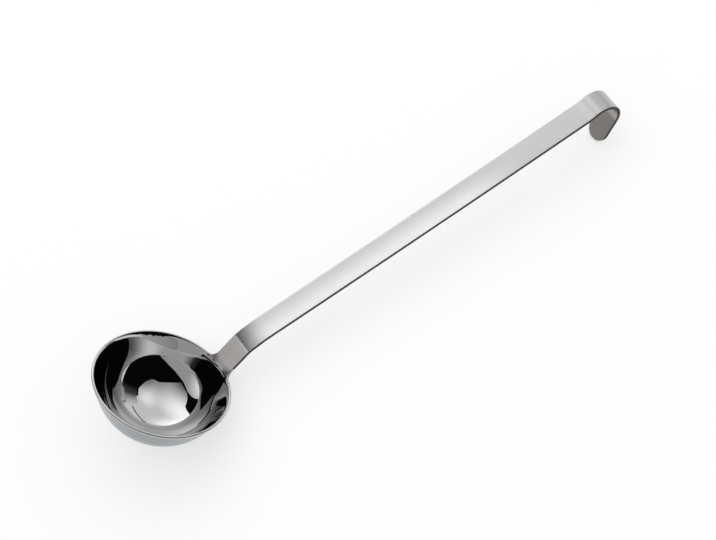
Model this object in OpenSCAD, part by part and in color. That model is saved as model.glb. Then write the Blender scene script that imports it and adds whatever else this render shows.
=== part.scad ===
// Soup ladle: a drawn bowl, a flat strip handle with a hanging hook, and the weld that joins them.
// The ladle lies on a table: the bowl's bottom and the hook's tail touch z = 0.
// +X runs along the handle to the hook, Y is across it, and +Z is up.
// Shapes are drawn in the ladle's own frame, with the rim's centre at zero and the bowl's axis along Z.
// One placement at the end tips them onto the table.

/* [Bowl] */
// Outer diameter of the rim
bowl_d = 90; // [70:1:120]
// Outer depth, from the top of the rim to the bottom
bowl_depth = 38; // [32:0.5:42]
// Thickness of the bowl's wall
bowl_wall = 2.2; // [1.2:0.1:2.8]
// Lean of the wall below the rim, from the bowl's axis
bowl_flare = 25.5; // [15:0.1:30]

/* [Handle strip] */
// Width of the strip
strip_w = 16.6; // [12:0.1:22]
// Thickness of the strip
strip_t = 2.5; // [1.8:0.1:3.5]

/* [Neck] */
// Inset of the neck's upper face from the edge of the rim
neck_inset = 0.9; // [0:0.1:1.5]
// Rise of the neck above the plane of the rim
neck_rise = 56.5; // [50:0.5:68]
// Length of the neck, from the plane of the rim to the bend
neck_l = 22.5; // [14:0.1:35]
// Inside radius of the bend at the top of the neck
neck_bend_r = 8.6; // [4:0.1:20]

/* [Handle] */
// Rise of the handle above the plane of the rim, where it leaves the neck's bend
handle_rise = 31.2; // [20:0.1:45]
// Length of the long run, from the neck's bend to the bend before the hook
handle_l = 258; // [150:0.5:330]
// Gentle upward bow of the long run, as the angle that it turns through
handle_bow = 1.4; // [0.6:0.1:3]

/* [Hook] */
// Upward bend just before the hook
kick_angle = 12.8; // [5:0.5:20]
// Inside radius of that bend
kick_r = 35; // [20:0.2:60]
// Inside radius of the hook
hook_r = 10.9; // [6:0.1:16]
// Angle that the hook turns through
hook_turn = 146.3; // [120:0.1:165]
// Length of the straight tail, up to its half-round tip
tail_l = 13; // [6:0.1:25]

/* [Weld] */
// Radius of the concave corners between the neck and the rim
weld_fillet_r = 4; // [2:0.1:5]
// Straight height of the weld above its corners
weld_land = 0.4; // [0.2:0.1:3]

/* [Hidden] */

// Facets round a full circle
round_fn = 144;
// Most that one flat turns through, on a bend and along the bowl's section
flat_turn = 3;
// Flats over the lip, and along the handle's slight bow
lip_flats = 12;
bow_flats = 8;
// The inside of the hook is cut true round this much past its flats
hook_ream = 0.01;
// Cutting shapes reach this far past what they cut
past = 1;

// Bowl: the lip is a full round on the wall, which runs straight down from it to a spherical bottom
rim_r = bowl_d / 2;
lip_r = bowl_wall / 2;
lip = [rim_r - lip_r, -lip_r];
bottom_r = (lip.x * cos(bowl_flare) + lip_r - (bowl_depth + lip.y) * sin(bowl_flare))
         / (1 - sin(bowl_flare));
bottom = [0, bottom_r - bowl_depth];

// A unit vector at an angle above the plane of the rim, in the plane of symmetry
function along(a) = [cos(a), sin(a)];

// The way from one end to the other of an arc that starts at angle a and turns by da
function chord(a, da, r) = 2 * r * sin(abs(da) / 2) * along(a + da / 2);

// Points round a centre, from one angle to another
function arc(centre, r, from, to, flats) =
  [for (i = [0:flats]) centre + r * along(from + (to - from) * i / flats)];

// Number of flats that an arc takes
function flats_in(turn) = ceil(abs(turn) / flat_turn);

// Middle line of the strip: its start beside the rim, and its place after each run and bend
half_t = strip_t / 2;
bow_r = handle_l * 180 / (PI * handle_bow);
kick_from = handle_rise + handle_bow;
hook_from = kick_from + kick_angle;
tail_rise = hook_from - hook_turn;
neck_start = [rim_r - neck_inset, 0] + half_t * along(neck_rise - 90);
neck_end = neck_start + neck_l * along(neck_rise);
handle_start = neck_end + chord(neck_rise, handle_rise - neck_rise, neck_bend_r + half_t);
handle_end = handle_start + chord(handle_rise, handle_bow, bow_r);
hook_start = handle_end + chord(kick_from, kick_angle, kick_r + half_t);
hook_middle = hook_start + (hook_r + half_t) * along(hook_from - 90);
hook_end = hook_start + chord(hook_from, -hook_turn, hook_r + half_t);
tip_middle = hook_end + tail_l * along(tail_rise);

// Resting pose: the bowl's sphere and the lower edge of the tail's tip stand on one level
tip_edge = tip_middle + strip_w / 2 * along(tail_rise) + half_t * along(tail_rise + 90);
rest_span = tip_edge - bottom;
tilt = atan2(rest_span.y, rest_span.x) + asin(bottom_r / norm(rest_span));

// A point of the plane of symmetry once the ladle is tipped, before it is centred
function tipped(p) = [p.x * cos(tilt) + p.y * sin(tilt), p.y * cos(tilt) - p.x * sin(tilt)];

// Extent along X, from the far side of the bowl to the outside of the hook
lip_back = tipped([-lip.x, lip.y]).x - lip_r;
sphere_back = tipped(bottom).x - bottom_r;
x_low = tilt > bowl_flare ? min(lip_back, sphere_back) : lip_back;
x_high = tipped(hook_middle).x + hook_r + strip_t;
floor_z = tipped(bottom).y - bottom_r;

// Weld: it fills a seat cut across the lip, and its top carries the foot of the strip
seat_z = lip.y;
seat_half_w = strip_w / 2 + weld_fillet_r;
weld_h = weld_fillet_r + weld_land;
weld_l = weld_h / sin(neck_rise);
weld_fall = (weld_h - seat_z) / sin(neck_rise);
fillet_steps = 8;
across_steps = 12;

// Levels of the weld, as heights above the plane of the rim, with the half width at each
weld_levels = concat(
  [[seat_z, seat_half_w]],
  [for (i = [0:fillet_steps]) let (a = 90 * i / fillet_steps)
    [weld_fillet_r * (1 - cos(a)), seat_half_w - weld_fillet_r * sin(a)]],
  [[weld_h, strip_w / 2]]);

// One face of the weld at height z and side y, where face is 1 on the upper face and -1 on the lower.
// It leaves the bowl on the wall's own cone, and reaches the strip's foot on the strip's plane.
function weld_face(z, y, face) =
  let (u = (z - seat_z) / (weld_h - seat_z),
       share = u * u * (3 - 2 * u),
       ring = lip.x - face * lip_r + (z - seat_z) * tan(bowl_flare),
       foot = neck_start + (weld_l - (1 - u) * weld_fall) * along(neck_rise)
            + face * half_t * along(neck_rise + 90))
  [(1 - share) * sqrt(ring * ring - y * y) + share * foot.x, y, (1 - share) * z + share * foot.y];

// Outline of the weld at one level, along its upper face and back along its lower one
function weld_ring(level) =
  [for (face = [1, -1], i = [0:across_steps])
    weld_face(level[0], face * level[1] * (1 - 2 * i / across_steps), face)];

// Stands the ladle on the table, with the middle of its length over the origin
module on_table() {
  translate([-(x_low + x_high) / 2, 0, -floor_z]) rotate([0, tilt, 0]) children();
}

// Half section of the bowl: a spherical bottom, a straight wall that leaves it at a tangent, and the lip
module bowl_profile() {
  flats = flats_in(90 - bowl_flare);
  polygon(concat(
    arc(bottom, bottom_r, -90, -bowl_flare, flats),
    arc(lip, lip_r, -bowl_flare, 180 - bowl_flare, lip_flats),
    arc(bottom, bottom_r - bowl_wall, -bowl_flare, -90, flats)));
}

module bowl() {
  color("gainsboro") on_table() difference() {
    rotate_extrude($fn = round_fn) bowl_profile();
    translate([0, -seat_half_w, seat_z]) cube([rim_r + past, 2 * seat_half_w, lip_r + past]);
  }
}

module root_weld() {
  rings = [for (level = weld_levels) weld_ring(level)];
  n = len(rings[0]);
  top = (len(rings) - 1) * n;
  sides = [for (k = [0:n:top - n], j = [0:n - 1]) let (a = k + j, b = k + (j + 1) % n)
    each [[a, a + n, b + n], [a, b + n, b]]];
  ends = [for (i = [0:across_steps - 1]) let (a = i, b = i + 1, c = n - 2 - i, d = n - 1 - i)
    each [[a, b, c], [a, c, d], [top + c, top + b, top + a], [top + d, top + c, top + a]]];
  color("silver") on_table()
    polyhedron([for (ring = rings) each ring], concat(sides, ends), convexity = 4);
}

// Stations along a bend that starts at a point with a rise of a: each is a middle point and the rise there
function bend(start, a, turn, middle_r, flats) =
  [for (i = [1:flats]) let (da = turn * i / flats) [start + chord(a, da, middle_r), a + da]];

// Stations of the strip, from its foot on the weld to the square end that the tail's tip is cut from
stations = concat(
  [[neck_start + weld_l * along(neck_rise), neck_rise], [neck_end, neck_rise]],
  bend(neck_end, neck_rise, handle_rise - neck_rise, neck_bend_r + half_t,
       flats_in(neck_rise - handle_rise)),
  bend(handle_start, handle_rise, handle_bow, bow_r, bow_flats),
  bend(handle_end, kick_from, kick_angle, kick_r + half_t, flats_in(kick_angle)),
  bend(hook_start, hook_from, -hook_turn, hook_r + half_t, flats_in(hook_turn)),
  [[tip_middle + (strip_w / 2 + past) * along(tail_rise), tail_rise]]);

// One face of the strip, where face is 1 on the upper face and -1 on the lower
function strip_face(face) = [for (s = stations) s[0] + face * half_t * along(s[1] + 90)];

// The strip seen from the side
module strip_side() {
  lower = strip_face(-1);
  polygon(concat(strip_face(1), [for (i = [1:len(lower)]) lower[len(lower) - i]]));
}

// What is cut from the square end of the tail to leave it half round
module tip_corners() {
  reach = strip_w / 2 + 2 * past;
  translate([tip_middle.x, 0, tip_middle.y]) rotate([0, -tail_rise, 0]) difference() {
    translate([0, -reach, -strip_t]) cube([reach, 2 * reach, 2 * strip_t]);
    cylinder(h = 4 * strip_t, r = strip_w / 2, center = true, $fn = round_fn);
  }
}

module handle() {
  color("lightsteelblue") on_table() difference() {
    rotate([90, 0, 0]) linear_extrude(strip_w, center = true) strip_side();
    translate([hook_middle.x, 0, hook_middle.y]) rotate([90, 0, 0])
      cylinder(h = strip_w + 2 * past, r = hook_r + hook_ream, center = true, $fn = round_fn);
    tip_corners();
  }
}

bowl();
root_weld();
handle();
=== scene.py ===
"""Soup ladle on a pale table: the looks of the steel, the studio round it and the photograph's camera.

The ladle is drawn in its own frame first: the rim's centre at zero, the bowl's axis along Z, and the handle
towards +X. One matrix then tips it onto the table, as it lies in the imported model. Lengths are in metres and
angles in degrees.
"""

import logging
import math
from dataclasses import dataclass
from enum import Enum

import bmesh
import bpy
from mathutils import Matrix, Vector


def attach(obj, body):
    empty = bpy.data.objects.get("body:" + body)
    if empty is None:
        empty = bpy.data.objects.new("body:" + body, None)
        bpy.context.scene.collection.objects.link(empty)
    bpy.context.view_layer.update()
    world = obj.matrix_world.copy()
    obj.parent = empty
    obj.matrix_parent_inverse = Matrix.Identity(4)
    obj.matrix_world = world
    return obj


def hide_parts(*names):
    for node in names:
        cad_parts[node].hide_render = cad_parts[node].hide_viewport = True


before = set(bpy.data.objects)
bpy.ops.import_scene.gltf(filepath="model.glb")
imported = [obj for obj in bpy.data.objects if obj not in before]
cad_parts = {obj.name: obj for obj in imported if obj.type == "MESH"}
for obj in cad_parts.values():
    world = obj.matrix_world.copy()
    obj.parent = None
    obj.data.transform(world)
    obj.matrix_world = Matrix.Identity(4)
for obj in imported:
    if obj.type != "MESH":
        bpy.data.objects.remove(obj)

LOG = logging.getLogger("ladle")
MM = 0.001
BODY = "root"
# Vertices closer than this are made one
MERGE = 0.002 * MM

Pair = tuple[float, float]
Triple = tuple[float, float, float]
Colour = Triple
Node = bpy.types.Node
Socket = bpy.types.NodeSocket
Material = bpy.types.Material
Object = bpy.types.Object
Mesh = bmesh.types.BMesh
Vert = bmesh.types.BMVert
Edge = bmesh.types.BMEdge

WHITE: Colour = (1.0, 1.0, 1.0)


def along(rise: float) -> Vector:
    """Returns the unit vector at an angle above the rim's plane, in the plane of symmetry."""
    return Vector((math.cos(math.radians(rise)), 0.0, math.sin(math.radians(rise))))


def chord(rise: float, turn: float, radius: float) -> Vector:
    """Returns the way from one end of an arc to the other, for the direction at its start and its turn."""
    return 2 * radius * math.sin(math.radians(abs(turn) / 2)) * along(rise + turn / 2)


@dataclass(frozen=True)
class Stretch:
    """One stretch of the strip's middle line, straight if it doesn't turn."""

    name: str
    length: float
    turn: float = 0.0
    steps: int = 1

    @property
    def radius(self) -> float:
        """Radius of the middle line, or 0 if the stretch is straight."""
        return self.length / math.radians(abs(self.turn)) if self.turn else 0.0

    def travel(self, rise: float) -> Vector:
        """Returns the way from the stretch's start to its end, for a start at that rise."""
        if not self.turn:
            return self.length * along(rise)
        return chord(rise, self.turn, self.radius)


@dataclass(frozen=True)
class LadleSizes:
    """Sizes of the ladle that its pieces share, with what follows from them."""

    bowl_d: float = 90 * MM
    bowl_depth: float = 38 * MM
    bowl_wall: float = 2.2 * MM
    bowl_flare: float = 25.5
    strip_w: float = 16.6 * MM
    strip_t: float = 2.5 * MM
    neck_inset: float = 0.9 * MM
    neck_rise: float = 56.5
    neck_l: float = 22.5 * MM
    neck_bend_r: float = 8.6 * MM
    crease_turn: float = 14.5
    ease_l: float = 13.5 * MM
    handle_rise: float = 31.2
    handle_l: float = 258 * MM
    handle_bow: float = 1.4
    kick_angle: float = 12.8
    kick_r: float = 35 * MM
    hook_r: float = 10.9 * MM
    hook_turn: float = 146.3
    tail_l: float = 13 * MM
    weld_fillet_r: float = 4 * MM
    weld_land: float = 0.4 * MM

    @property
    def lip_r(self) -> float:
        """Radius of the full round on the bowl's lip."""
        return self.bowl_wall / 2

    @property
    def lip(self) -> Vector:
        """Middle of the lip's round, on the side towards the handle."""
        return Vector((self.bowl_d / 2 - self.lip_r, 0.0, -self.lip_r))

    @property
    def bottom_r(self) -> float:
        """Outer radius of the bowl's spherical bottom."""
        flare = math.radians(self.bowl_flare)
        drop = (self.bowl_depth + self.lip.z) * math.sin(flare)
        return (self.lip.x * math.cos(flare) + self.lip_r - drop) / (1 - math.sin(flare))

    @property
    def bottom(self) -> Vector:
        """Centre of the bowl's spherical bottom."""
        return Vector((0.0, 0.0, self.bottom_r - self.bowl_depth))

    @property
    def half_t(self) -> float:
        """Half the strip's thickness."""
        return self.strip_t / 2

    @property
    def half_w(self) -> float:
        """Half the strip's width, which is also the radius of its half-round end."""
        return self.strip_w / 2

    @property
    def neck_start(self) -> Vector:
        """Middle of the strip in the rim's plane."""
        rim = Vector((self.bowl_d / 2 - self.neck_inset, 0.0, 0.0))
        return rim + self.half_t * along(self.neck_rise - 90)

    @property
    def weld_h(self) -> float:
        """Height of the strip's foot above the rim's plane."""
        return self.weld_fillet_r + self.weld_land

    @property
    def weld_l(self) -> float:
        """Way from the rim's plane to the strip's foot."""
        return self.weld_h / math.sin(math.radians(self.neck_rise))

    @property
    def foot(self) -> Vector:
        """Middle of the strip's foot."""
        return self.neck_start + self.weld_l * along(self.neck_rise)

    @property
    def seat_half_w(self) -> float:
        """Half the width of the seat that the root takes on the lip."""
        return self.half_w + self.weld_fillet_r

    @property
    def neck_bend(self) -> list[Stretch]:
        """The neck and its bend, with a tight crease that eases into the long run."""
        middle_r = self.neck_bend_r + self.half_t
        turn = self.handle_rise - self.neck_rise
        crease = Stretch("crease", middle_r * math.radians(self.crease_turn), -self.crease_turn, steps=6)
        run = Stretch("start of the run", self.ease_l, self.handle_bow * self.ease_l / self.handle_l)
        ease_rise = self.neck_rise - self.crease_turn
        ease_turn = self.handle_rise + run.turn - ease_rise
        plain = chord(self.neck_rise, turn, middle_r) + run.travel(self.handle_rise)
        left = plain - crease.travel(self.neck_rise)
        ahead, across = along(self.neck_rise), along(self.neck_rise + 90)
        way = along(ease_rise + ease_turn / 2)
        reach = left.dot(across) / way.dot(across)
        early = (reach * way - left).dot(ahead)
        half = math.radians(abs(ease_turn) / 2)
        return [
            Stretch("neck", self.neck_l - self.weld_l - early, steps=4),
            crease,
            Stretch("ease", reach * half / math.sin(half), ease_turn, steps=16),
        ]

    @property
    def stretches(self) -> list[Stretch]:
        """The strip's stretches, from its foot to the middle of its half-round end."""
        kick_r = self.kick_r + self.half_t
        hook_r = self.hook_r + self.half_t
        run_l = self.handle_l - self.ease_l
        return [
            *self.neck_bend,
            Stretch("long run", run_l, self.handle_bow * run_l / self.handle_l, steps=24),
            Stretch("kick", kick_r * math.radians(self.kick_angle), self.kick_angle, steps=8),
            Stretch("hook", hook_r * math.radians(self.hook_turn), -self.hook_turn, steps=48),
            Stretch("tail", self.tail_l, steps=3),
        ]

    def to_table(self) -> Matrix:
        """Works out how the ladle lies on the table.

        Returns:
            The matrix from the ladle's frame to the table's, where the bowl and the tail touch z = 0 and the
            middle of the length is over the origin.
        """
        place, rise, hook_middle = self.foot, self.neck_rise, None
        for stretch in self.stretches:
            if stretch.name == "hook":
                hook_middle = place + stretch.radius * along(rise - 90)
            place, rise = place + stretch.travel(rise), rise + stretch.turn
        tip_edge = place + self.half_w * along(rise) + self.half_t * along(rise + 90)
        span = tip_edge - self.bottom
        tilt = math.atan2(span.z, span.x) + math.asin(self.bottom_r / span.length)
        tip = Matrix.Rotation(tilt, 4, "Y")
        lip_back = (tip @ Vector((-self.lip.x, 0.0, self.lip.z))).x - self.lip_r
        x_low = min(lip_back, (tip @ self.bottom).x - self.bottom_r)
        x_high = (tip @ hook_middle).x + self.hook_r + self.strip_t
        floor = (tip @ self.bottom).z - self.bottom_r
        return Matrix.Translation((-(x_low + x_high) / 2, 0.0, -floor)) @ tip


class NodeKit:
    """Adds shader nodes to one material and links them."""

    def __init__(self, name: str) -> None:
        """Makes an empty material of that name."""
        self.material = bpy.data.materials.new(name)
        self.material.use_nodes = True
        self.tree = self.material.node_tree
        self.tree.nodes.clear()

    def surface(self, shader: Node) -> Node:
        """Makes a shader the material's surface, and returns it."""
        self.link(shader.outputs[0], self.add("ShaderNodeOutputMaterial").inputs["Surface"])
        return shader

    def steel(self, colour: Colour) -> Node:
        """Returns a metal shader of that colour, set as the surface."""
        return self.surface(self.add("ShaderNodeBsdfPrincipled", metallic=1.0, base_color=(*colour, 1.0)))

    def add(self, kind: str, **values: object) -> Node:
        """Adds a node.

        Args:
            kind: The node's type, such as "ShaderNodeTexNoise".
            **values: Properties of the node, or values of its inputs by their names in lower case.

        Returns:
            The new node.
        """
        node = self.tree.nodes.new(kind)
        inputs = {socket.name.lower(): socket for socket in reversed(node.inputs)}
        for key, value in values.items():
            socket = inputs.get(key.replace("_", " "))
            if socket:
                socket.default_value = value
            else:
                setattr(node, key, value)
        return node

    def link(self, source: Socket, target: Socket) -> None:
        """Links an output to an input."""
        self.tree.links.new(source, target)

    def fill(self, slot: Socket, value: Socket | Colour | float) -> None:
        """Gives an input a value.

        Args:
            slot: The input.
            value: A socket to link it to, or a colour or a number.
        """
        if isinstance(value, Socket):
            self.link(value, slot)
        else:
            slot.default_value = (*value, 1.0) if isinstance(value, tuple) else value

    def place(self) -> Socket:
        """Returns the piece's own place, as Object coordinates."""
        return self.add("ShaderNodeTexCoord").outputs["Object"]

    def strip_map(self) -> Socket:
        """Returns the map of the strip: the length along it, and the width."""
        return self.add("ShaderNodeUVMap", uv_map="strip").outputs["UV"]

    def layer(self, name: str) -> Socket:
        """Returns the value of a mesh's layer."""
        return self.add("ShaderNodeAttribute", attribute_name=name).outputs["Fac"]

    def math(self, operation: str, first: Socket | float, second: Socket | float) -> Socket:
        """Adds a Math node.

        Args:
            operation: The node's operation, such as "MULTIPLY".
            first: A socket or a number.
            second: A socket or a number.

        Returns:
            The node's output.
        """
        node = self.add("ShaderNodeMath", operation=operation)
        self.fill(node.inputs[0], first)
        self.fill(node.inputs[1], second)
        return node.outputs[0]

    def scaled(self, value: Socket, gain: float, offset: float) -> Socket:
        """Returns a value times a gain, plus an offset."""
        return self.math("ADD", self.math("MULTIPLY", value, gain), offset)

    def ramp(self, value: Socket, low: float, high: float, start: float, end: float) -> Socket:
        """Adds a Map Range node with smooth ends.

        Args:
            value: The socket to map.
            low: The value at which the ramp starts.
            high: The value at which it ends.
            start: The result at its start.
            end: The result at its end.

        Returns:
            The node's output.
        """
        node = self.add("ShaderNodeMapRange", interpolation_type="SMOOTHSTEP", from_min=low, from_max=high,
                        to_min=start, to_max=end)
        self.link(value, node.inputs["Value"])
        return node.outputs["Result"]

    def mix(self, share: Socket, first: Socket | Colour | float, second: Socket | Colour) -> Socket:
        """Mixes two colours, or two values if the first is a number.

        Args:
            share: How much of the second there is.
            first: A colour, a number or a socket.
            second: A colour or a socket.

        Returns:
            The mixed colour or value.
        """
        kind, slots, out = ("FLOAT", (2, 3), 0) if isinstance(first, float) else ("RGBA", (6, 7), 2)
        node = self.add("ShaderNodeMix", data_type=kind)
        self.link(share, node.inputs[0])
        self.fill(node.inputs[slots[0]], first)
        self.fill(node.inputs[slots[1]], second)
        return node.outputs[out]

    def tint(self, share: Socket, colour: Colour, depth: float) -> Socket:
        """Returns a colour that varies, with the share, between depth times itself and itself."""
        return self.mix(share, tuple(depth * c for c in colour), colour)

    def shade(self, colour: Socket, gain: Socket) -> Socket:
        """Scales a colour.

        Args:
            colour: The colour.
            gain: What it is scaled by.

        Returns:
            The scaled colour.
        """
        node = self.add("ShaderNodeVectorMath", operation="SCALE")
        self.link(colour, node.inputs[0])
        self.link(gain, node.inputs["Scale"])
        return node.outputs["Vector"]

    def rings(self) -> Socket:
        """Makes a place in which rings round the bowl are thin layers.

        Returns:
            Object X and Y, with the length down the bowl's section as Z.
        """
        split = self.add("ShaderNodeSeparateXYZ")
        self.link(self.place(), split.inputs[0])
        joined = self.add("ShaderNodeCombineXYZ")
        self.link(split.outputs["X"], joined.inputs[0])
        self.link(split.outputs["Y"], joined.inputs[1])
        self.link(self.layer("down"), joined.inputs[2])
        return joined.outputs[0]

    def noise(self, vector: Socket, stretch: Triple, detail: float = 3.0) -> Socket:
        """Adds noise over a stretched vector.

        Args:
            vector: The place that the noise reads.
            stretch: Cycles of noise per metre along each axis.
            detail: How many finer layers the noise has.

        Returns:
            The noise, from about 0 to 1.
        """
        mapping = self.add("ShaderNodeMapping", scale=stretch)
        self.link(vector, mapping.inputs["Vector"])
        node = self.add("ShaderNodeTexNoise", scale=1.0, detail=detail, roughness=0.6)
        self.link(mapping.outputs["Vector"], node.inputs["Vector"])
        return node.outputs["Fac"]

    def dress(self, shader: Node, rough: Socket, tone: Socket, relief: Socket, depth: float) -> Material:
        """Gives a shader its looks.

        Args:
            shader: The shader.
            rough: Its roughness.
            tone: Its colour.
            relief: Its relief, in depths.
            depth: Height of a relief of 1.

        Returns:
            The finished material.
        """
        bump = self.add("ShaderNodeBump", distance=depth)
        self.link(relief, bump.inputs["Height"])
        self.link(bump.outputs["Normal"], shader.inputs["Normal"])
        self.link(rough, shader.inputs["Roughness"])
        self.link(tone, shader.inputs["Base Color"])
        return self.material


@dataclass(frozen=True)
class TurnedFinish:
    """Steel of the bowl, with fine rings round it. If it is satin, its roughness follows the rings too.

    Here and in the other finishes, a scale is in cycles of noise per metre.
    """

    name: str
    colour: Colour
    roughness: float
    haze: float
    haze_scale: float
    ring_scale: Triple
    ring_detail: float
    ring_tone: float
    ring_depth: float
    satin: bool = False

    def build(self) -> Material:
        """Returns the finished material."""
        kit = NodeKit(self.name)
        shader = kit.steel(self.colour)
        cloud = kit.noise(kit.place(), (self.haze_scale,) * 3)
        rings = kit.noise(kit.rings(), self.ring_scale, self.ring_detail)
        if self.satin:
            rough = kit.scaled(kit.math("ADD", rings, cloud), self.haze, self.roughness - self.haze)
        else:
            rough = kit.scaled(cloud, self.haze, self.roughness - self.haze / 2)
        return kit.dress(shader, rough, kit.tint(rings, self.colour, self.ring_tone), rings, self.ring_depth)


@dataclass(frozen=True)
class BrushedFinish:
    """Satin steel brushed along the strip, with a darker, warmer neck that is painted shade.

    On one side of the strip the steel is paler, a painted highlight of the light that falls across its width,
    and that ends before the hook. If polish_ends is given, the bowl's polish runs up to an uneven line at
    that height over the rim's plane.
    """

    name: str
    polish_ends: float | None = None
    colour: Colour = (0.47, 0.472, 0.478)
    painted_highlight_colour: Colour = (0.66, 0.66, 0.66)
    painted_neck_shade_colours: tuple[Colour, Colour] | None = None
    roughness: float = 0.27
    haze: float = 0.10
    haze_scale: float = 70.0
    polished_roughness: float = 0.035
    anisotropy: float = 0.7
    quarter_turn: float = 0.25
    fine_scale: Triple = (50.0, 3600.0, 0.0)
    streak_scale: Triple = (14.0, 700.0, 0.0)
    fine_share: float = 0.6
    streak_share: float = 0.4
    grain_depth: float = 0.002 * MM
    grain_gain: float = 0.10
    grain_tone: float = 0.93
    painted_highlight_half_w: float = 7 * MM
    painted_highlight_ends: Pair = (185 * MM, 240 * MM)
    neck_fade: Pair = (0.5 * MM, 7 * MM)
    bend_fade: float = 1.4 * MM
    line_scale: float = 330.0
    line_wander: float = 1.0 * MM
    line_blur: float = 0.25 * MM

    def build(self, sizes: LadleSizes) -> Material:
        """Makes the material.

        Args:
            sizes: The ladle's sizes, which say where the rim's plane and the neck's bend are.

        Returns:
            The finished material.
        """
        kit = NodeKit(self.name)
        shader = kit.steel(self.colour)
        shader.inputs["Anisotropic"].default_value = self.anisotropy
        shader.inputs["Anisotropic Rotation"].default_value = self.quarter_turn
        tangent = kit.add("ShaderNodeTangent", direction_type="UV_MAP", uv_map="strip")
        kit.link(tangent.outputs["Tangent"], shader.inputs["Tangent"])
        strip = kit.strip_map()
        fine = kit.math("MULTIPLY", kit.noise(strip, self.fine_scale), self.fine_share)
        streak = kit.math("MULTIPLY", kit.noise(strip, self.streak_scale, 2.0), self.streak_share)
        grain = kit.math("ADD", fine, streak)
        cloud = kit.noise(kit.place(), (self.haze_scale,) * 3)
        rough = kit.scaled(kit.math("ADD", grain, cloud), self.haze, self.roughness - self.haze)
        gain = kit.scaled(grain, self.grain_gain, self.grain_tone)
        height = grain
        if self.polish_ends is not None:
            satin = self.polish_line(kit, sizes)
            rough = kit.mix(satin, self.polished_roughness, rough)
            height = kit.math("MULTIPLY", grain, satin)
        tone = kit.shade(self.tone(kit, strip, sizes), gain)
        return kit.dress(shader, rough, tone, height, self.grain_depth)

    def tone(self, kit: NodeKit, strip: Socket, sizes: LadleSizes) -> Socket:
        """Makes the colour along and across the strip.

        Args:
            kit: The material's nodes.
            strip: The map of the strip.
            sizes: The ladle's sizes.

        Returns:
            The colour, before the grain.
        """
        split = kit.add("ShaderNodeSeparateXYZ")
        kit.link(strip, split.inputs[0])
        length, width = split.outputs["X"], split.outputs["Y"]
        # Painted highlight: the steel is paler towards one long side, fading out before the hook
        painted_highlight_share = kit.math("MULTIPLY", kit.ramp(width, -self.painted_highlight_half_w, self.painted_highlight_half_w, 1.0, 0.0),
                        kit.ramp(length, *self.painted_highlight_ends, 1.0, 0.0))
        tone = kit.mix(painted_highlight_share, self.colour, self.painted_highlight_colour)
        # Painted shade: the neck is darker and warmer than the rest of the strip, fading out just past the
        # bend
        if self.painted_neck_shade_colours:
            up = kit.ramp(length, *self.neck_fade, 0.0, 1.0)
            bend = sizes.weld_l + sizes.neck_bend[0].length
            past = kit.ramp(length, bend, bend + self.bend_fade, 0.0, 1.0)
            tone = kit.mix(past, kit.mix(up, *self.painted_neck_shade_colours), tone)
        return tone

    def polish_line(self, kit: NodeKit, sizes: LadleSizes) -> Socket:
        """Makes the mask of the satin above the uneven line where the bowl's polish ends.

        Args:
            kit: The material's nodes.
            sizes: The ladle's sizes.

        Returns:
            A socket that is 0 on the polish and 1 on the satin.
        """
        to_table = sizes.to_table()
        axis = to_table.to_3x3() @ Vector((0, 0, 1))
        place = kit.place()
        rise = kit.add("ShaderNodeVectorMath", operation="DOT_PRODUCT")
        rise.inputs[1].default_value = axis
        kit.link(place, rise.inputs[0])
        uneven = kit.math("MULTIPLY", kit.noise(place, (self.line_scale,) * 3, 2.0), self.line_wander)
        height = kit.math("ADD", rise.outputs["Value"], uneven)
        line = to_table.translation.dot(axis) + self.polish_ends + self.line_wander / 2
        return kit.ramp(height, line - self.line_blur, line + self.line_blur, 0.0, 1.0)


@dataclass(frozen=True)
class ShadedShearedEdge:
    """The strip's long edges: steel left dull by the shears, with a near-black colour that is painted shade.
    """

    name: str = "sheared_edge_painted_shade_steel"
    colour: Colour = (0.05, 0.05, 0.05)
    roughness: float = 0.42
    drag_scale: Triple = (1200.0, 1500.0, 0.0)
    drag_haze: float = 0.2
    drag_tone: float = 0.6
    drag_depth: float = 0.01 * MM

    def build(self) -> Material:
        """Returns the finished material."""
        kit = NodeKit(self.name)
        shader = kit.steel(self.colour)
        drag = kit.noise(kit.strip_map(), self.drag_scale)
        rough = kit.scaled(drag, self.drag_haze, self.roughness - self.drag_haze / 2)
        # The edge's near-black colour is painted shade; only its dullness comes from the shears
        return kit.dress(shader, rough, kit.tint(drag, self.colour, self.drag_tone), drag, self.drag_depth)


POLISHED = TurnedFinish(
    "mirror_polished_steel", (0.56, 0.56, 0.565), roughness=0.035, haze=0.05, haze_scale=55.0,
    ring_scale=(30.0, 30.0, 2600.0), ring_detail=2.0, ring_tone=0.97, ring_depth=0.0004 * MM)
# The outside's dark bluish colour is painted shade, much darker than the polished inside's steel
DRAWN_PAINTED_SHADE = TurnedFinish(
    "drawn_satin_painted_shade_steel", (0.268, 0.298, 0.312), roughness=0.24, haze=0.08, haze_scale=60.0,
    ring_scale=(35.0, 35.0, 2200.0), ring_detail=3.0, ring_tone=0.9, ring_depth=0.002 * MM, satin=True)


class BowlFace(Enum):
    """Faces of the bowl that have a finish of their own, in the order of its materials."""

    INSIDE = 0
    OUTSIDE = 1


class StripFace(Enum):
    """Faces of the strip that have a finish of their own, in the order of its materials."""

    UPPER = 0
    EDGE = 1
    LOWER = 2


def new_object(name: str, mesh: Mesh, materials: list[Material]) -> Object:
    """Adds an object to the scene.

    Args:
        name: The object's name.
        mesh: Its mesh, which is freed.
        materials: Its materials.

    Returns:
        The new object.
    """
    data = bpy.data.meshes.new(name)
    mesh.to_mesh(data)
    mesh.free()
    for material in materials:
        data.materials.append(material)
    made = bpy.data.objects.new(name, data)
    bpy.context.scene.collection.objects.link(made)
    return made


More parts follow.
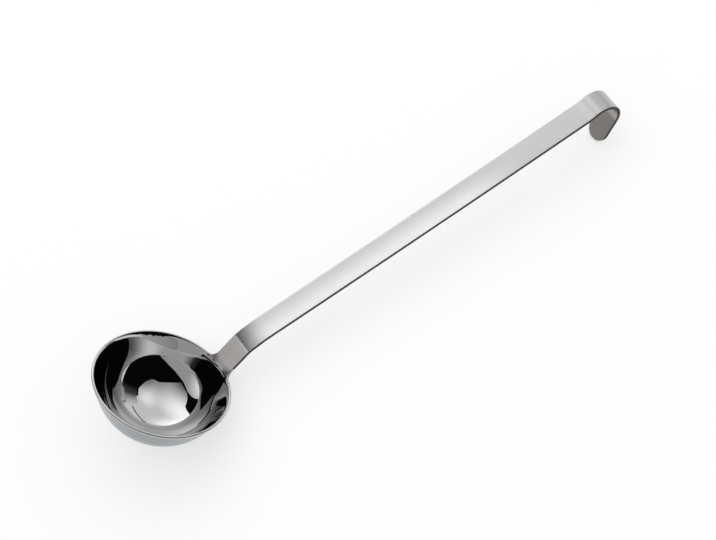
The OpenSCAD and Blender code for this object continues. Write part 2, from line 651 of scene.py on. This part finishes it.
def new_piece(name: str, mesh: Mesh, materials: list[Material], sizes: LadleSizes) -> Object:
    """Adds a piece of the ladle, where it lies on the table.

    Args:
        name: The piece's name.
        mesh: Its mesh in the ladle's own frame, with the faces outwards. It is freed.
        materials: Its finishes.
        sizes: The ladle's sizes.

    Returns:
        The new piece, with smooth faces.
    """
    bmesh.ops.transform(mesh, matrix=sizes.to_table(), verts=mesh.verts)
    for face in mesh.faces:
        face.smooth = True
    piece = new_object(name, mesh, materials)
    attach(piece, BODY)
    return piece


def only_verts(geom: list) -> list[Vert]:
    """Returns the vertices of a bmesh operator's result."""
    return [g for g in geom if isinstance(g, Vert)]


def mark_sharp(edges: list[Edge]) -> None:
    """Ends the smooth shading at some edges."""
    for edge in edges:
        edge.smooth = False


class SectionLine:
    """A line in the plane of symmetry, drawn edge by edge in an empty mesh."""

    def __init__(self, mesh: Mesh, start: Vector) -> None:
        """Starts the line."""
        self.mesh = mesh
        self.last = [mesh.verts.new(start)]

    @property
    def end(self) -> Vector:
        """Where the line ends so far."""
        return self.last[0].co.copy()

    def reach(self, place: Vector) -> None:
        """Draws one straight edge to a place."""
        self.last = bmesh.ops.extrude_vert_indiv(self.mesh, verts=self.last)["verts"]
        bmesh.ops.translate(self.mesh, vec=place - self.end, verts=self.last)

    def straight(self, goal: Vector, steps: int) -> None:
        """Draws a straight run of equal edges to a goal."""
        start = self.end
        for i in range(1, steps + 1):
            self.reach(start.lerp(goal, i / steps))

    def arc(self, centre: Vector, turn: float, steps: int) -> None:
        """Draws an arc round a centre, through an angle from Z towards X."""
        made = bmesh.ops.spin(self.mesh, geom=self.last, cent=centre, axis=(0, 1, 0),
                              angle=math.radians(turn), steps=steps)
        self.last = only_verts(made["geom_last"])


@dataclass
class Bowl:
    """The drawn bowl: a spherical bottom, a flared straight wall and a round lip, open at the root's seat.

    The lip's inner edge is rubbed round over the length rub of the wall. The lip's faces have their middles
    within lip_reach radii of its middle line, and the seat's cuts go through vertices within cut_dist.
    """

    sizes: LadleSizes
    arc_steps: int = 48
    wall_steps: int = 4
    lip_steps: int = 12
    rub: float = 3.4 * MM
    turn_steps: int = 256
    lip_reach: float = 1.001
    cut_dist: float = 0.001 * MM

    def section(self, mesh: Mesh) -> None:
        """Draws the half section of the wall, from the outer pole over the lip to the inner pole."""
        sizes, flare = self.sizes, self.sizes.bowl_flare
        inner_r = sizes.bottom_r - sizes.bowl_wall
        line = SectionLine(mesh, sizes.bottom - Vector((0, 0, sizes.bottom_r)))
        line.arc(sizes.bottom, flare - 90, self.arc_steps)
        line.straight(sizes.lip + sizes.lip_r * along(-flare), self.wall_steps)
        line.arc(sizes.lip, -flare - 90, self.lip_steps)
        self.eased_edge(line)
        line.straight(sizes.bottom + inner_r * along(-flare), self.wall_steps)
        line.arc(sizes.bottom, 90 - flare, self.arc_steps)

    def eased_edge(self, line: SectionLine) -> None:
        """Draws the lip's inner edge, rubbed round from the lip's top to a place down the wall.

        Args:
            line: The section, up to the lip's top.
        """
        wall_rise = 90 - self.sizes.bowl_flare
        start = line.end
        corner = start - Vector((self.sizes.lip_r * math.tan(math.radians(wall_rise) / 2), 0, 0))
        goal = corner - self.rub * along(wall_rise)
        for i in range(1, self.lip_steps + 1):
            share = i / self.lip_steps
            line.reach(start.lerp(corner, share).lerp(corner.lerp(goal, share), share))

    def on_lip(self, place: Vector) -> bool:
        """Says whether a place is on the lip, anywhere round the bowl."""
        lip = self.sizes.lip
        ring = Vector((math.hypot(place.x, place.y) - lip.x, place.z - lip.z))
        return ring.length < self.lip_reach * self.sizes.lip_r

    def is_outside(self, place: Vector) -> bool:
        """Says whether a place is on the wall's outer face.

        Args:
            place: A place on the bowl.

        Returns:
            Whether it is nearer to the outer face than to the inner one, and not on the lip.
        """
        sizes = self.sizes
        middle_r = sizes.bottom_r - sizes.bowl_wall / 2
        wall = Vector((math.hypot(place.x, place.y), 0.0, place.z - sizes.bottom.z))
        reach = wall.length
        if wall.z > -math.sin(math.radians(sizes.bowl_flare)) * middle_r:
            reach = wall.dot(along(-sizes.bowl_flare))
        return reach > middle_r and not self.on_lip(place)

    def cut_seat(self, mesh: Mesh) -> None:
        """Takes the lip off where the strip's root is blended in, and closes the cut."""
        half_w = self.sizes.seat_half_w

        def lip_faces(reach: float) -> list[bmesh.types.BMFace]:
            """Returns the lip's faces on the handle's side, up to a reach to each side."""
            middles = {f: f.calc_center_median() for f in mesh.faces}
            return [f for f, m in middles.items() if m.x > 0 and abs(m.y) < reach and self.on_lip(m)]

        for side in (-1, 1):
            faces = lip_faces(2 * half_w)
            edges = dict.fromkeys(e for f in faces for e in f.edges)
            verts = dict.fromkeys(v for f in faces for v in f.verts)
            bmesh.ops.bisect_plane(mesh, geom=[*faces, *edges, *verts], dist=self.cut_dist,
                                   plane_co=(0, side * half_w, 0), plane_no=(0, 1, 0))
        bmesh.ops.delete(mesh, geom=lip_faces(half_w), context="FACES")
        rim = [e for e in mesh.edges if e.is_boundary]
        mark_sharp(rim)
        bmesh.ops.holes_fill(mesh, edges=rim, sides=0)

    def build(self, inside: Material, outside: Material) -> Object:
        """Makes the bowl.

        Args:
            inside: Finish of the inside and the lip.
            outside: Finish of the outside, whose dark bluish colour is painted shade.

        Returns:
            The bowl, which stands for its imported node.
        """
        sizes = self.sizes
        mesh = bmesh.new()
        self.section(mesh)
        bmesh.ops.spin(mesh, geom=mesh.verts[:] + mesh.edges[:], cent=(0, 0, 0), axis=(0, 0, 1),
                       angle=math.tau, steps=self.turn_steps, use_merge=True)
        bmesh.ops.remove_doubles(mesh, verts=mesh.verts, dist=MERGE)
        bmesh.ops.recalc_face_normals(mesh, faces=mesh.faces)
        down = mesh.verts.layers.float.new("down")
        for vert in mesh.verts:
            below = vert.co - sizes.bottom
            vert[down] = sizes.bottom_r * math.atan2(math.hypot(below.x, below.y), -below.z)
        for face in mesh.faces:
            if self.is_outside(face.calc_center_median()):
                face.material_index = BowlFace.OUTSIDE.value
        self.cut_seat(mesh)
        piece = new_piece("drawn_bowl", mesh, [inside, outside], sizes)
        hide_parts("bowl")
        return piece


@dataclass(frozen=True)
class SectionPoint:
    """A point of half the strip's section, and its place on the bowl's round lip, where the root takes it.

    The values are shares: span of the flat part's half width, out of the rounded end's reach past the flat
    part, and thick of half the thickness, from -1 on the underside to 1 on top.
    """

    span: float
    out: float
    thick: float
    lip_out: float
    lip_thick: float


def strip_layers(mesh: Mesh) -> tuple:
    """Finds the layers that the strip's pieces carry, and makes them in a new mesh.

    Args:
        mesh: The piece's mesh.

    Returns:
        The layers of the length along the strip and of the level in its thickness.
    """
    layers = mesh.verts.layers.float
    for name in ("along", "level"):
        if name not in layers:
            layers.new(name)
    return layers["along"], layers["level"]


def advance(mesh: Mesh, loop: list[Edge]) -> tuple[list[Edge], list[Vert]]:
    """Extrudes an open end in place, and returns the new open end's edges and vertices."""
    made = bmesh.ops.extrude_edge_only(mesh, edges=loop)["geom"]
    return [g for g in made if isinstance(g, Edge) and g.is_boundary], only_verts(made)


def lay_grain(mesh: Mesh, sizes: LadleSizes) -> None:
    """Gives a piece of the strip the map that its grain follows: the length along it, and the width.

    The lower face is laid some widths aside, so that its grain isn't that of the upper face.

    Args:
        mesh: The piece in the ladle's frame, with its lengths and levels in layers.
        sizes: The ladle's sizes.
    """
    widths_aside = 4
    grain = mesh.loops.layers.uv.new("strip")
    length, level = strip_layers(mesh)
    for face in mesh.faces:
        side = math.copysign(1.0, face.calc_center_median().y)
        under = max(loop.vert[level] for loop in face.loops) < 0
        for loop in face.loops:
            vert = loop.vert
            aside = widths_aside * sizes.strip_w if under else side * (sizes.half_t - vert[level])
            loop[grain].uv = (vert[length], vert.co.y + aside)


@dataclass
class Strip:
    """The flat strip, from its foot on the root to the half-round end of the hook.

    Its section has slightly crowned faces and rounded corners. A corner has the finish of the edge from
    edge_share of its radius below the face.
    """

    sizes: LadleSizes
    edge_r: float = 0.45 * MM
    edge_share: float = 0.25
    crown: float = 0.04 * MM
    face_steps: int = 6
    edge_steps: int = 5
    tip_steps: int = 24

    @property
    def flat(self) -> float:
        """Half the width of the flat part of the strip's faces."""
        return self.sizes.half_w - self.edge_r

    def half_section(self) -> list[SectionPoint]:
        """Lists the points of half the section, from the middle of its upper face to that of its lower."""
        half_t = self.sizes.half_t
        half = []
        for i in range(self.face_steps):
            span = i / self.face_steps
            half.append(SectionPoint(span, 0.0, 1 - self.crown * span ** 2 / half_t, 0.0, 1.0))
        for i in range(self.edge_steps + 1):
            turn = math.radians(90 * i / self.edge_steps)
            # The lip's points stop half a step short of its side, where the two halves meet
            lip_turn = math.radians(90 * i / (self.edge_steps + 0.5))
            thick = 1 - (self.crown + self.edge_r * (1 - math.cos(turn))) / half_t
            half.append(SectionPoint(1.0, math.sin(turn), thick, math.sin(lip_turn), math.cos(lip_turn)))
        under = [SectionPoint(p.span, p.out, -p.thick, p.lip_out, -p.lip_thick) for p in reversed(half)]
        return half + under

    def place_of(self, point: SectionPoint, foot: Vector, rise: float, side: int) -> Vector:
        """Places a section point on side 1 or -1, where the strip has that middle and that rise."""
        y = side * (self.flat * point.span + self.edge_r * point.out)
        return foot + Vector((0, y, 0)) + self.sizes.half_t * point.thick * along(rise + 90)

    def tip(self, mesh: Mesh, place: Vector, rise: float, travelled: float) -> list[Edge]:
        """Spins half the section into the half-round end.

        Args:
            mesh: The empty mesh.
            place: Middle of the half-round end.
            rise: Direction of the tail, above the rim's plane.
            travelled: Length along the strip at that middle.

        Returns:
            The edges of the end's open side.
        """
        length, level = strip_layers(mesh)
        half = []
        for point in self.half_section():
            vert = mesh.verts.new(self.place_of(point, place, rise, -1))
            vert[level] = self.sizes.half_t * point.thick
            half.append(vert)
        edges = [mesh.edges.new(pair) for pair in zip(half, half[1:])]
        bmesh.ops.spin(mesh, geom=half + edges, cent=place, axis=along(rise + 90), angle=math.pi,
                       steps=self.tip_steps)
        bmesh.ops.remove_doubles(mesh, verts=mesh.verts, dist=MERGE)
        for vert in mesh.verts:
            vert[length] = travelled + (vert.co - place).dot(along(rise))
        return [e for e in mesh.edges if e.is_boundary]

    def sweep(self, mesh: Mesh) -> list[Edge]:
        """Draws the strip in an empty mesh, from its half-round end back to its foot.

        Args:
            mesh: The empty mesh.

        Returns:
            The edges of the open foot.
        """
        sizes = self.sizes
        place, rise, travelled = sizes.foot, sizes.neck_rise, sizes.weld_l
        for stretch in sizes.stretches:
            place, rise = place + stretch.travel(rise), rise + stretch.turn
            travelled += stretch.length
        loop = self.tip(mesh, place, rise, travelled)
        length, _ = strip_layers(mesh)
        for stretch in reversed(sizes.stretches):
            place, rise = place - stretch.travel(rise - stretch.turn), rise - stretch.turn
            centre = place + math.copysign(stretch.radius, stretch.turn) * along(rise + 90)
            for _ in range(stretch.steps):
                travelled -= stretch.length / stretch.steps
                loop, verts = advance(mesh, loop)
                if stretch.turn:
                    turn = Matrix.Rotation(math.radians(stretch.turn / stretch.steps), 3, "Y")
                    bmesh.ops.rotate(mesh, cent=centre, matrix=turn, verts=verts)
                else:
                    bmesh.ops.translate(mesh, vec=-stretch.length / stretch.steps * along(rise), verts=verts)
                for vert in verts:
                    vert[length] = travelled
        return loop

    def build(self, brushed: Material, edge: Material, underside: Material) -> Object:
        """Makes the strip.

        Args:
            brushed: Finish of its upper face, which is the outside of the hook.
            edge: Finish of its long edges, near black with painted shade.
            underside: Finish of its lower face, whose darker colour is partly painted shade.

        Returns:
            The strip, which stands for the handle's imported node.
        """
        mesh = bmesh.new()
        loop = self.sweep(mesh)
        mark_sharp(loop)
        bmesh.ops.holes_fill(mesh, edges=loop, sides=0)
        bmesh.ops.recalc_face_normals(mesh, faces=mesh.faces)
        lay_grain(mesh, self.sizes)
        _, level = strip_layers(mesh)
        edge_level = self.sizes.half_t - self.crown - self.edge_share * self.edge_r
        for face in mesh.faces:
            height = sum(v[level] for v in face.verts) / len(face.verts)
            if abs(height) < edge_level:
                face.material_index = StripFace.EDGE.value
            elif height < 0:
                face.material_index = StripFace.LOWER.value
        piece = new_piece("strip_handle", mesh, [brushed, edge, underside], self.sizes)
        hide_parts("handle")
        return piece


@dataclass
class Root:
    """The blended root: it widens the strip's foot into the bowl's lip, with a concave corner on each side.

    It ends in a plug that reaches down into the bowl's wall, and is thinner than the wall by plug_inset of
    the lip's radius on each face.
    """

    strip: Strip
    steps: int = 18
    plug: float = 1.0 * MM
    plug_inset: float = 0.15

    def open_end(self, mesh: Mesh) -> tuple[list[Edge], dict]:
        """Draws the section that the root shares with the strip's foot.

        Args:
            mesh: The empty mesh.

        Returns:
            Its edges, and the section point and side of each vertex.
        """
        sizes = self.strip.sizes
        length, level = strip_layers(mesh)
        points = self.strip.half_section()
        shares = {}
        for point, side in [(p, 1) for p in points] + [(p, -1) for p in reversed(points[1:-1])]:
            vert = mesh.verts.new(self.strip.place_of(point, sizes.foot, sizes.neck_rise, side))
            vert[length], vert[level] = sizes.weld_l, sizes.half_t * point.thick
            shares[vert] = (point, side)
        verts = list(shares)
        return [mesh.edges.new(pair) for pair in zip(verts, verts[1:] + verts[:1])], shares

    def place_of(self, point: SectionPoint, side: int, lean: float) -> Vector:
        """Places a section point of the root.

        Args:
            point: The section point.
            side: 1 or -1 for the side of the middle plane.
            lean: How far the section is round the concave corner, from 0 at the rim to 90 at the strip.

        Returns:
            The point in the ladle's frame.
        """
        sizes, edge_r = self.strip.sizes, self.strip.edge_r
        flare, lean = math.radians(sizes.bowl_flare), math.radians(lean)
        lip_share = math.cos(lean) ** 2
        round_r = edge_r + (sizes.lip_r - edge_r) * lip_share
        out = round_r * (point.out + (point.lip_out - point.out) * lip_share)
        thick = point.thick + (point.lip_thick - point.thick) * lip_share
        reach = sizes.weld_fillet_r + round_r
        y = point.span * (sizes.seat_half_w - reach * math.sin(lean)) + out * math.sin(lean)
        level = sizes.weld_fillet_r - reach * math.cos(lean)
        eased = 1 - (1 - (level - sizes.lip.z) / (sizes.weld_h - sizes.lip.z)) ** 2
        z = level + out * math.cos(lean)

        above = z - sizes.lip.z
        ring = sizes.lip.x + above * math.sin(flare) - thick * sizes.lip_r * math.cos(flare)
        wall = Vector((math.sqrt(ring * ring - y * y), 0.0,
                       sizes.lip.z + above * math.cos(flare) + thick * sizes.lip_r * math.sin(flare)))
        fall = (sizes.weld_h - z) / math.sin(math.radians(sizes.neck_rise))
        neck = sizes.foot - fall * along(sizes.neck_rise)
        neck += thick * sizes.half_t * along(sizes.neck_rise + 90)
        return wall.lerp(neck, eased) + Vector((0, side * y, 0))

    def build(self, blended: Material) -> Object:
        """Makes the root.

        Args:
            blended: Its finish.

        Returns:
            The root, which stands for the weld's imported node.
        """
        sizes = self.strip.sizes
        mesh = bmesh.new()
        loop, shares = self.open_end(mesh)
        length, _ = strip_layers(mesh)
        mark_sharp(loop)
        for step in range(self.steps + 1):
            lean = 90 * (1 - step / self.steps)
            loop, verts = advance(mesh, loop)
            shares = carried(shares, verts)
            for vert, (point, side) in shares.items():
                vert.co = self.place_of(point, side, lean)
                vert[length] = sizes.weld_l - (sizes.foot - vert.co).dot(along(sizes.neck_rise))
        loop, verts = advance(mesh, loop)
        down = -self.plug * along(90 - sizes.bowl_flare)
        inwards = self.plug_inset * sizes.lip_r * along(-sizes.bowl_flare)
        for vert, (point, _) in carried(shares, verts).items():
            vert.co += down + point.lip_thick * inwards
        bmesh.ops.holes_fill(mesh, edges=loop, sides=0)
        bmesh.ops.holes_fill(mesh, edges=[e for e in mesh.edges if e.is_boundary], sides=0)
        bmesh.ops.recalc_face_normals(mesh, faces=mesh.faces)
        lay_grain(mesh, sizes)
        piece = new_piece("blended_root", mesh, [blended], sizes)
        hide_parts("root_weld")
        return piece


def carried(shares: dict, verts: list[Vert]) -> dict:
    """Returns the section points by new vertex, from those by the vertices that they were extruded from."""
    return {vert: shares[next(e.other_vert(vert) for e in vert.link_edges if e.other_vert(vert) in shares)]
            for vert in verts}


@dataclass(frozen=True)
class Glow:
    """A soft lobe of light on a card, in card heights from over the bowl."""

    u: float
    v: float
    reach_u: float
    reach_v: float
    gain: float


@dataclass(frozen=True)
class Card:
    """A flat card that hangs over the bowl, where only its reflection in the steel shows.

    Its corners are in card heights from over the bowl.
    """

    name: str
    height: float
    brightness: float
    corners: tuple[Pair, ...]
    glows: tuple[Glow, ...] = ()
    colour: Colour = WHITE

    def build_mesh(self, bowl: Vector) -> Mesh:
        """Returns the card's mesh, hung over the bowl's place."""
        mesh = bmesh.new()
        mesh.faces.new([mesh.verts.new(bowl + self.height * Vector((u, v, 1.0))) for u, v in self.corners])
        bmesh.ops.triangulate(mesh, faces=mesh.faces[:])
        return mesh

    def light(self, kit: NodeKit, bowl: Vector) -> Socket:
        """Adds up the card's soft lobes of light.

        Args:
            kit: The card's material.
            bowl: The bowl's place.

        Returns:
            The card's brightness.
        """
        place = kit.place()
        total = self.brightness
        for glow in self.glows:
            reach = (glow.reach_u * self.height, glow.reach_v * self.height)
            middle = (bowl.x + glow.u * self.height, bowl.y + glow.v * self.height)
            start = (-middle[0] / reach[0], -middle[1] / reach[1], 0.0)
            scale = (1 / reach[0], 1 / reach[1], 0.0)
            mapping = kit.add("ShaderNodeMapping", location=start, scale=scale)
            kit.link(place, mapping.inputs["Vector"])
            fall = kit.add("ShaderNodeTexGradient", gradient_type="SPHERICAL")
            kit.link(mapping.outputs["Vector"], fall.inputs["Vector"])
            total = kit.math("ADD", kit.ramp(fall.outputs["Fac"], 0.0, 1.0, 0.0, glow.gain), total)
        return kit.math("MAXIMUM", total, 0.0)


@dataclass(frozen=True)
class Wall:
    """A standing curved card, round the bowl between two directions from +X.

    Its brightness is given at the two ends of its foot and of its top. The top may end in a direction of its
    own, which leaves the wall's end slanted.
    """

    name: str
    start: float
    end: float
    low: Pair
    high: Pair
    colour: Colour = WHITE
    foot: float = 2 * MM
    top: float = 1.72
    radius: float = 3.0
    top_end: float | None = None
    steps: int = 24

    def build_mesh(self, bowl: Vector) -> Mesh:
        """Makes the wall's mesh, with its brightness as the layer "glow".

        Args:
            bowl: The bowl's place, which it stands round.

        Returns:
            The mesh.
        """
        mesh = bmesh.new()
        glow = mesh.verts.layers.float.new("glow")
        rows = ((self.end, self.foot, self.low), (self.top_end or self.end, self.top, self.high))
        before = None
        for i in range(self.steps + 1):
            share = i / self.steps
            pair = []
            for end, height, glows in rows:
                turn = math.radians(self.start + share * (end - self.start))
                x, y = bowl.x + self.radius * math.cos(turn), bowl.y + self.radius * math.sin(turn)
                vert = mesh.verts.new((x, y, height))
                vert[glow] = glows[0] + share * (glows[1] - glows[0])
                pair.append(vert)
            if before:
                mesh.faces.new((before[0], pair[0], pair[1], before[1]))
            before = pair
        return mesh

    def light(self, kit: NodeKit, _bowl: Vector) -> Socket:
        """Returns the brightness in the wall's layer "glow"."""
        return kit.layer("glow")


CARDS = (
    Card("soft_white_card", 1.60, 0.91,
         ((-0.02, 3.0), (-0.05, 1.0), (-0.08, 0.80), (-0.28, 0.56), (-0.36, 0.38), (-0.41, -0.05),
          (0.10, -0.44), (0.20, -0.52), (0.30, -0.70), (0.38, -0.78), (0.70, -0.88), (1.34, -0.82),
          (1.54, -0.50), (3.5, -0.40), (3.5, 3.0)),
         (Glow(0.42, 1.96, 2.61, 1.39, 0.98), Glow(0.03, 0.55, 0.76, 1.09, 1.19),
          Glow(-0.34, 0.30, 1.06, 1.28, -1.11), Glow(0.60, -0.79, 1.12, 0.94, -0.71),
          Glow(0.90, -0.33, 0.81, 0.72, 0.56))),
    Card("grey_side_card", 1.56, 0.47,
         ((-0.66, 1.10), (-0.50, 0.80), (-0.44, 0.62), (-0.41, 0.35), (-0.49, 0.0), (-0.53, -0.5),
          (-0.56, -1.0), (-0.66, -1.7), (-1.1, -3.2), (-2.6, -3.2), (-2.2, -0.2), (-1.6, -0.1), (-1.38, 0.0),
          (-1.32, 0.35), (-1.28, 0.75), (-1.22, 1.10), (-0.72, 1.12)),
         (Glow(-0.95, 0.75, 0.8, 0.9, 0.75),)),
    Card("back_left_card", 1.58, 0.72,
         ((-0.62, 1.35), (-1.15, 1.16), (-1.6, 0.85), (-3.5, 1.1), (-3.5, 3.9), (-0.62, 3.9))),
    Card("black_card", 1.72, 0.003, ((-4.0, -5.0), (4.0, -5.0), (4.0, 4.0), (-4.0, 4.0))),
)
WALLS = (
    Wall("warm_wall", 138.0, 172.0, (0.42, 0.42), (0.42, 0.42), colour=(1.0, 0.95, 0.90)),
    Wall("grey_wall", 172.0, 257.0, (0.45, 0.68), (0.40, 0.30), top_end=250.0),
    Wall("low_grey_start", 249.0, 258.0, (0.66, 0.66), (0.38, 0.40), top=1.02, radius=3.05),
    Wall("low_grey_wall", 258.0, 263.0, (0.66, 0.66), (0.44, 0.44), top=0.80, radius=3.05),
    Wall("lower_grey_wall", 263.0, 272.0, (0.66, 0.62), (0.46, 0.46), top=0.55, radius=3.05),
    Wall("lowest_grey_wall", 272.0, 286.0, (0.62, 0.50), (0.55, 0.40), top=0.26, radius=3.05),
    Wall("black_wall", 249.0, 328.0, (0.003, 0.003), (0.003, 0.003), top=1.80, radius=3.1),
    Wall("dark_end", 328.0, 342.0, (0.003, 0.09), (0.003, 0.07)),
    Wall("fading_end", 342.0, 353.0, (0.09, 0.70), (0.07, 0.60)),
    Wall("bright_end", 353.0, 363.0, (0.70, 0.95), (0.60, 0.95)),
)


@dataclass
class Studio:
    """The pale table, the soft light, and the cards and walls that the steel mirrors.

    The lamp, the cards and the walls are placed from bowl, the centre of the bowl's round bottom.
    """

    bowl: Vector
    sky: float = 0.95
    table_half_w: float = 12.0
    table_tone: float = 0.92
    table_white: float = 0.6
    lamp_way: Triple = (0.5, 0.9, 1.5)
    lamp_size: float = 2.0
    lamp_energy: float = 7.0

    def build(self) -> None:
        """Makes the table, the world, the lamp, the cards and the walls."""
        self.table()
        self.world()
        self.lamp()
        for card in CARDS + WALLS:
            self.hang(card)

    def table(self) -> None:
        """Makes the pale table, which takes the ladle's soft shadow and looks nearly white."""
        mesh = bmesh.new()
        bmesh.ops.create_grid(mesh, x_segments=1, y_segments=1, size=self.table_half_w)
        kit = NodeKit("pale_table")
        ray = kit.add("ShaderNodeLightPath").outputs
        seen = kit.math("MAXIMUM", ray["Is Camera Ray"], ray["Is Glossy Ray"])
        seen = kit.math("MAXIMUM", seen, ray["Is Transmission Ray"])
        plain = kit.add("ShaderNodeBsdfDiffuse", color=(*(self.table_tone,) * 3, 1.0))
        white = kit.add("ShaderNodeEmission", color=(*WHITE, 1.0), strength=1.0)
        mixed = kit.add("ShaderNodeMixShader")
        kit.link(kit.math("MULTIPLY", seen, self.table_white), mixed.inputs[0])
        kit.link(plain.outputs[0], mixed.inputs[1])
        kit.link(white.outputs[0], mixed.inputs[2])
        kit.surface(mixed)
        new_object("table", mesh, [kit.material])

    def world(self) -> None:
        """Lights the scene evenly from all round."""
        world = bpy.data.worlds.new("soft_room")
        world.use_nodes = True
        background = world.node_tree.nodes["Background"]
        background.inputs["Color"].default_value = (*WHITE, 1.0)
        background.inputs["Strength"].default_value = self.sky
        bpy.context.scene.world = world

    def lamp(self) -> None:
        """Adds one large soft lamp, high on the far side."""
        light = bpy.data.lights.new("softbox", "AREA")
        light.shape, light.size, light.energy = "SQUARE", self.lamp_size, self.lamp_energy
        lamp = bpy.data.objects.new("softbox", light)
        lamp.location = self.bowl + Vector(self.lamp_way)
        lamp.rotation_euler = (self.bowl - lamp.location).to_track_quat("-Z", "Y").to_euler()
        lamp.visible_glossy = False
        bpy.context.scene.collection.objects.link(lamp)

    def hang(self, card: Card | Wall) -> None:
        """Adds a card or wall to the scene, so that it glows and shows only in reflections.

        Args:
            card: The card or wall.
        """
        kit = NodeKit(card.name)
        glow = kit.surface(kit.add("ShaderNodeEmission", color=(*card.colour, 1.0)))
        kit.link(card.light(kit, self.bowl), glow.inputs["Strength"])
        hung = new_object(card.name, card.build_mesh(self.bowl), [kit.material])
        hung.visible_camera = hung.visible_diffuse = hung.visible_shadow = hung.visible_transmission = False


@dataclass(frozen=True)
class PhotoCamera:
    """The camera at the photograph's place, found by fitting the ladle's outline."""

    location: Triple = (-0.24218, -0.77391, 1.38688)
    turn: Triple = (29.3799, 9.2366, -32.7865)
    lens: float = 124.517
    sensor: float = 36.0
    clip: Pair = (0.05, 60.0)

    def build(self) -> None:
        """Makes the camera and gives it to the scene."""
        data = bpy.data.cameras.new("photo_camera")
        data.lens, data.sensor_width = self.lens, self.sensor
        data.clip_start, data.clip_end = self.clip
        camera = bpy.data.objects.new("photo_camera", data)
        camera.location = self.location
        camera.rotation_euler = [math.radians(a) for a in self.turn]
        bpy.context.scene.collection.objects.link(camera)
        bpy.context.scene.camera = camera


def main() -> None:
    """Builds the ladle and the studio."""
    logging.basicConfig(level=logging.INFO, format="%(name)s: %(message)s")
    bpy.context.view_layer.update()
    sizes = LadleSizes()
    # The neck's darker, warmer colours are painted shade
    neck = ((0.41, 0.392, 0.388), (0.435, 0.409, 0.405))
    brushed = BrushedFinish("brushed_satin_steel", painted_neck_shade_colours=neck)
    blended = BrushedFinish("blended_steel", polish_ends=-0.3 * MM, painted_neck_shade_colours=neck)
    # The underside, inside the hook's curl, is darker and browner: partly a dull mill finish, partly painted
    # shade
    mill_and_shade = (0.37, 0.355, 0.34)
    underside = BrushedFinish("mill_underside_painted_shade_steel", colour=mill_and_shade, painted_highlight_colour=mill_and_shade, roughness=0.34)
    strip = Strip(sizes)
    pieces = (
        Bowl(sizes).build(POLISHED.build(), DRAWN_PAINTED_SHADE.build()),
        Root(strip).build(blended.build(sizes)),
        strip.build(brushed.build(sizes), ShadedShearedEdge().build(), underside.build(sizes)),
    )
    for piece in pieces:
        LOG.info("%s: %d faces", piece.name, len(piece.data.polygons))
    Studio(sizes.to_table() @ sizes.bottom).build()
    PhotoCamera().build()
    bpy.context.scene.view_settings.view_transform = "Standard"
    bpy.context.view_layer.update()


if __name__ == "__main__":
    main()
